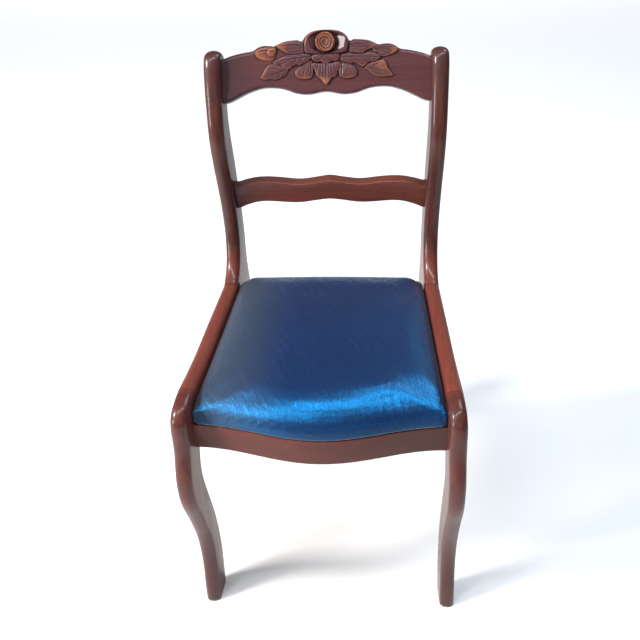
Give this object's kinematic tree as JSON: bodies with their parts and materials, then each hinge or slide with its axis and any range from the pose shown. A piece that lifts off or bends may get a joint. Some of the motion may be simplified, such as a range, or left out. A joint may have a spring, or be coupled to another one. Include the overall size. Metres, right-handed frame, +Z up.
{
  "type": "dining chair",
  "caption": "Dining chair with sawn scroll side frames, a rose-carved crest rail, a serpentine mid rail and a padded drop-in seat.",
  "frame": {"origin": "on the floor under the middle of the chair's bounding box", "axes": "+Z up, the chair faces -Y, +X to the right as seen from the front"},
  "size_m": [0.4428, 0.5336, 0.8481],
  "materials": {
    "mahogany": "gloss red-brown lacquer",
    "carved_mahogany": "gloss red-brown lacquer, worn to orange on the carved edges",
    "bare_wood": "bare",
    "dowel_wood": "bare",
    "steel": "plain zinc",
    "padding": "soft wadding",
    "cover": "blue satin with a fine slub"
  },
  "bodies": {
    "root": {"front_leg_left": "mahogany", "front_leg_right": "mahogany", "rear_post_left": "mahogany", "rear_post_right": "mahogany", "side_rail_left": "mahogany", "side_rail_right": "mahogany", "crest_rail": "carved_mahogany", "mid_rail": "mahogany", "front_seat_rail": "mahogany", "rear_seat_rail": "mahogany", "corner_block_front_left": "bare_wood", "corner_block_front_right": "bare_wood", "corner_block_rear_left": "bare_wood", "corner_block_rear_right": "bare_wood", "crest_dowels": "dowel_wood", "mid_rail_dowels": "dowel_wood", "front_rail_dowels": "dowel_wood", "rear_rail_dowels": "dowel_wood", "side_rail_front_dowels": "dowel_wood", "side_rail_rear_dowels": "dowel_wood", "corner_block_screws": "steel", "seat_screws": "steel", "seat_board": "bare_wood", "seat_padding": "padding", "seat_cover": "cover", "cover_tacks": "steel"}
  },
  "joints": []
}
